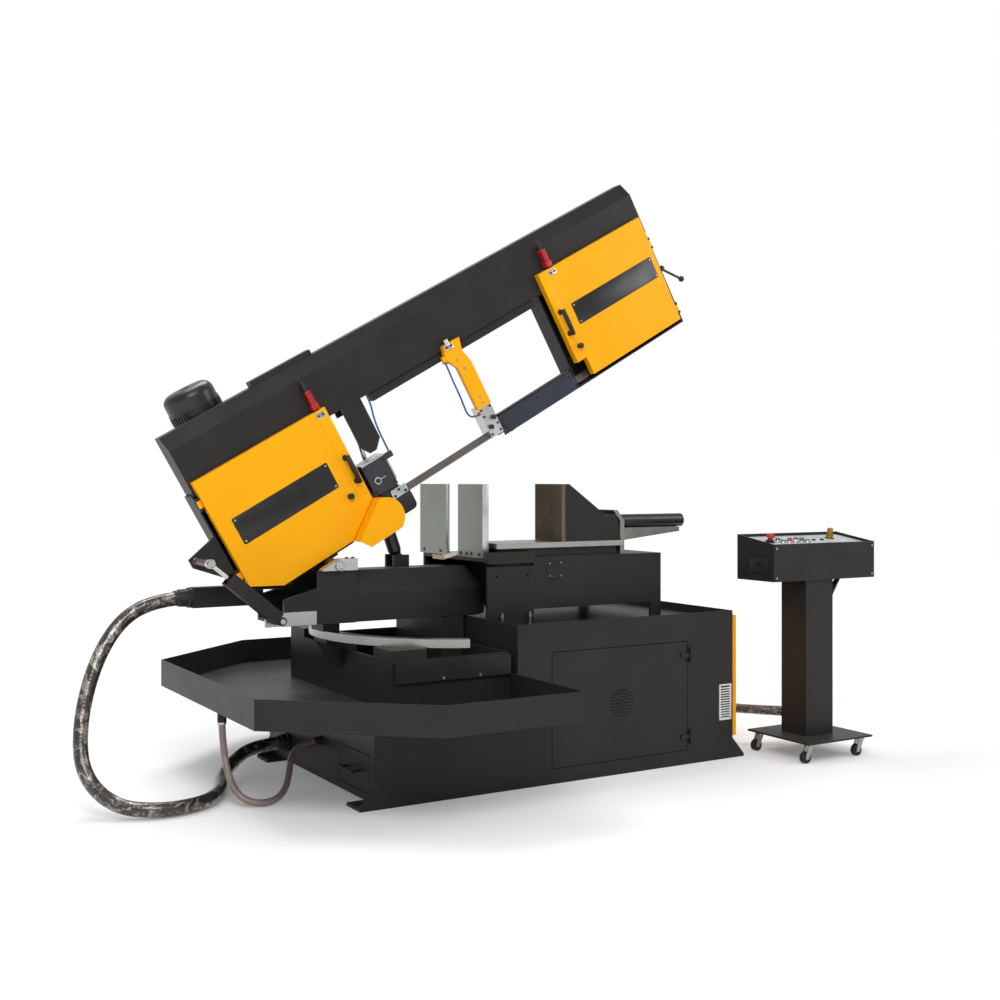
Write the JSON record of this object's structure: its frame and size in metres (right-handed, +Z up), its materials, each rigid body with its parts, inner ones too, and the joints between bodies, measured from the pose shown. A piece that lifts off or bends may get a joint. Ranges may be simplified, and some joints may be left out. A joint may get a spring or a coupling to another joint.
{
  "type": "band saw",
  "caption": "Double-mitre horizontal band saw: tilting bow on a swivelling arm, chip tray, cabinet base, hydraulic vise and a separate control desk.",
  "frame": {"origin": "centre of the four floor-anchor holes of the cabinet, on the floor", "axes": "+X along the cabinet from the chip tray towards the control desk, +Y away from the operator, +Z up"},
  "size_m": [3.3353, 2.01, 2.561],
  "materials": {
    "anthracite_paint": "satin powder coat, anthracite",
    "yellow_paint": "satin powder coat, golden yellow",
    "blue_black_paint": "satin paint, blue-black",
    "zinc_plate": "zinc-plated plate, slightly green",
    "bright_steel": "ground steel",
    "dark_steel": "black paint on steel tube",
    "jaw_steel": "oiled dark steel, serrated",
    "blade_steel": "rolled spring steel strip",
    "cast_iron": "machined casting",
    "aluminium": "machined",
    "black_plastic": "moulded",
    "black_rubber": "matt",
    "red_plastic": "moulded",
    "blue_tube": "polyurethane air tube",
    "clear_hose": "clear PVC hose",
    "steel_conduit": "wrapped steel conduit",
    "brass": "satin",
    "bristle": "wire bristle"
  },
  "bodies": {
    "base": {"cabinet_low": "anthracite_paint", "cabinet_tall": "anthracite_paint", "chip_tray": "anthracite_paint", "pedestal": "anthracite_paint", "mitre_rail": "bright_steel", "vise_bed": "anthracite_paint", "vise_slab": "bright_steel", "fixed_jaw_front": "zinc_plate", "fixed_jaw_rear": "zinc_plate", "vise_end_plate": "zinc_plate", "vise_cylinder": "dark_steel", "pump_unit": "anthracite_paint", "electric_cover": "yellow_paint", "console_stand": "anthracite_paint", "console_desk": "anthracite_paint", "main_conduit": "steel_conduit", "drain_hose": "clear_hose", "console_conduit": "steel_conduit"},
    "mitre_arm_body": {"mitre_arm": "anthracite_paint", "pivot_mount": "aluminium", "strut_bracket": "aluminium", "junction_box": "anthracite_paint"},
    "bow": {"bow_beam": "anthracite_paint", "left_housing": "anthracite_paint", "right_housing": "anthracite_paint", "saw_blade": "blade_steel", "drive_unit": "black_plastic", "guide_rail": "dark_steel", "fixed_guide": "cast_iron", "brush_hood": "yellow_paint", "interlocks": "red_plastic", "coolant_left": "blue_tube"},
    "service_door_leaf": {"service_door": "anthracite_paint"},
    "drawer": {"chip_drawer": "anthracite_paint"},
    "left_door_leaf": {"left_door": "yellow_paint"},
    "right_door_leaf": {"right_door": "yellow_paint"},
    "drive_wheel_body": {"drive_wheel": "cast_iron"},
    "idler_wheel_body": {"idler_wheel": "cast_iron"},
    "brush": {"chip_brush": "bristle"},
    "guide": {"guide_arm": "yellow_paint", "guide_head": "aluminium", "blade_cover": "blue_black_paint", "coolant_right": "blue_tube"},
    "tensioner": {"tension_lever": "dark_steel"},
    "vise_jaw": {"moving_jaw": "anthracite_paint", "moving_jaw_face": "jaw_steel"},
    "lift_lower": {"lift_barrel": "dark_steel"},
    "lift_upper": {"lift_rod": "bright_steel"},
    "strut_lower": {"strut_barrel": "anthracite_paint"},
    "strut_upper": {"strut_rod": "bright_steel"},
    "stop": {"stop_button": "red_plastic"},
    "selector": {"selector_knob": "brass"},
    "caster_1": {"caster_fork_1": "zinc_plate"},
    "roller_1": {"caster_wheel_1": "black_rubber"},
    "caster_2": {"caster_fork_2": "zinc_plate"},
    "roller_2": {"caster_wheel_2": "black_rubber"},
    "caster_3": {"caster_fork_3": "zinc_plate"},
    "roller_3": {"caster_wheel_3": "black_rubber"},
    "caster_4": {"caster_fork_4": "zinc_plate"},
    "roller_4": {"caster_wheel_4": "black_rubber"}
  },
  "joints": [
    {"name": "mitre_swivel", "type": "hinge", "parent": "base", "child": "mitre_arm_body", "pos_m": [-0.236, 0, 0.64], "axis": [0, 0, 1], "range_deg": [-45, 60], "deforming": ["main_conduit"]},
    {"name": "bow_tilt", "type": "hinge", "parent": "mitre_arm_body", "child": "bow", "pos_m": [-0.826, 0, 0.865], "axis": [0, 1, 0], "range_deg": [-8, 29.5]},
    {"name": "lift_lean", "type": "hinge", "parent": "mitre_arm_body", "child": "lift_lower", "pos_m": [-0.465, 0.076, 0.872], "axis": [0, 1, 0], "range_deg": [-12, 32]},
    {"name": "lift_head", "type": "hinge", "parent": "bow", "child": "lift_upper", "pos_m": [-0.68811, 0.076, 1.49451], "axis": [0, 1, 0], "range_deg": [-6, 6]},
    {"name": "strut_lean", "type": "hinge", "parent": "mitre_arm_body", "child": "strut_lower", "pos_m": [-1.087, -0.192, 0.669], "axis": [0, 1, 0], "range_deg": [-12, 36]},
    {"name": "strut_head", "type": "hinge", "parent": "bow", "child": "strut_upper", "pos_m": [-1.35675, -0.192, 0.89332], "axis": [0, 1, 0], "range_deg": [-4, 4]},
    {"name": "left_door_hinge", "type": "hinge", "parent": "bow", "child": "left_door_leaf", "pos_m": [-1.2653, -0.0374, 0.96115], "axis": [0.4924, 0, -0.8704], "range_deg": [0, 70]},
    {"name": "right_door_hinge", "type": "hinge", "parent": "bow", "child": "right_door_leaf", "pos_m": [0.85315, -0.0374, 2.1597], "axis": [-0.4924, 0, 0.8704], "range_deg": [0, 100]},
    {"name": "drive_spin", "type": "hinge", "parent": "bow", "child": "drive_wheel_body", "pos_m": [-0.99148, 0, 1.12296], "axis": [0, 1, 0], "continuous": true},
    {"name": "idler_spin", "type": "hinge", "parent": "bow", "child": "idler_wheel_body", "pos_m": [0.56733, 0, 2.00489], "axis": [0, 1, 0], "continuous": true},
    {"name": "brush_spin", "type": "hinge", "parent": "bow", "child": "brush", "pos_m": [-0.63954, -0.072, 1.01875], "axis": [0, 1, 0], "continuous": true},
    {"name": "guide_slide", "type": "slide", "parent": "bow", "child": "guide", "axis": [0.8704, 0, 0.4924], "range_m": [-0.35, 0]},
    {"name": "tension_crank", "type": "hinge", "parent": "bow", "child": "tensioner", "pos_m": [0.87672, 0.01, 2.18912], "axis": [0.8704, 0, 0.4924], "continuous": true},
    {"name": "vise_slide", "type": "slide", "parent": "base", "child": "vise_jaw", "axis": [-1, 0, 0], "range_m": [0, 0.3]},
    {"name": "service_door_hinge", "type": "hinge", "parent": "base", "child": "service_door_leaf", "pos_m": [0.611, -0.539, 0.3], "axis": [0, 0, 1], "range_deg": [0, 110]},
    {"name": "drawer_slide", "type": "slide", "parent": "base", "child": "drawer", "axis": [-1, 0, 0], "range_m": [0, 0.19]},
    {"name": "stop_press", "type": "slide", "parent": "base", "child": "stop", "axis": [0, 0.1546, -0.988], "range_m": [0, 0.005], "stiffness_N_per_m": 2000},
    {"name": "selector_turn", "type": "hinge", "parent": "base", "child": "selector", "pos_m": [1.397, -0.56309, 0.95446], "axis": [0, -0.1546, 0.988], "range_deg": [-45, 45]},
    {"name": "caster_turn_1", "type": "hinge", "parent": "base", "child": "caster_1", "pos_m": [1.06, -0.774, 0.07], "axis": [0, 0, 1], "continuous": true},
    {"name": "roller_spin_1", "type": "hinge", "parent": "caster_1", "child": "roller_1", "pos_m": [1.038, -0.774, 0.025], "axis": [0, 1, 0], "continuous": true},
    {"name": "caster_turn_2", "type": "hinge", "parent": "base", "child": "caster_2", "pos_m": [1.362, -0.774, 0.07], "axis": [0, 0, 1], "continuous": true},
    {"name": "roller_spin_2", "type": "hinge", "parent": "caster_2", "child": "roller_2", "pos_m": [1.34, -0.774, 0.025], "axis": [0, 1, 0], "continuous": true},
    {"name": "caster_turn_3", "type": "hinge", "parent": "base", "child": "caster_3", "pos_m": [1.06, -0.472, 0.07], "axis": [0, 0, 1], "continuous": true},
    {"name": "roller_spin_3", "type": "hinge", "parent": "caster_3", "child": "roller_3", "pos_m": [1.038, -0.472, 0.025], "axis": [0, 1, 0], "continuous": true},
    {"name": "caster_turn_4", "type": "hinge", "parent": "base", "child": "caster_4", "pos_m": [1.362, -0.472, 0.07], "axis": [0, 0, 1], "continuous": true},
    {"name": "roller_spin_4", "type": "hinge", "parent": "caster_4", "child": "roller_4", "pos_m": [1.34, -0.472, 0.025], "axis": [0, 1, 0], "continuous": true}
  ],
  "couplings": [
    {"joint": "lift_lean", "follows": "bow_tilt", "ratio": 0.919},
    {"joint": "lift_head", "follows": "bow_tilt", "ratio": -0.081},
    {"joint": "strut_lean", "follows": "bow_tilt", "ratio": 1.029},
    {"joint": "strut_head", "follows": "bow_tilt", "ratio": 0.029},
    {"joint": "idler_spin", "follows": "drive_spin", "ratio": 1}
  ]
}
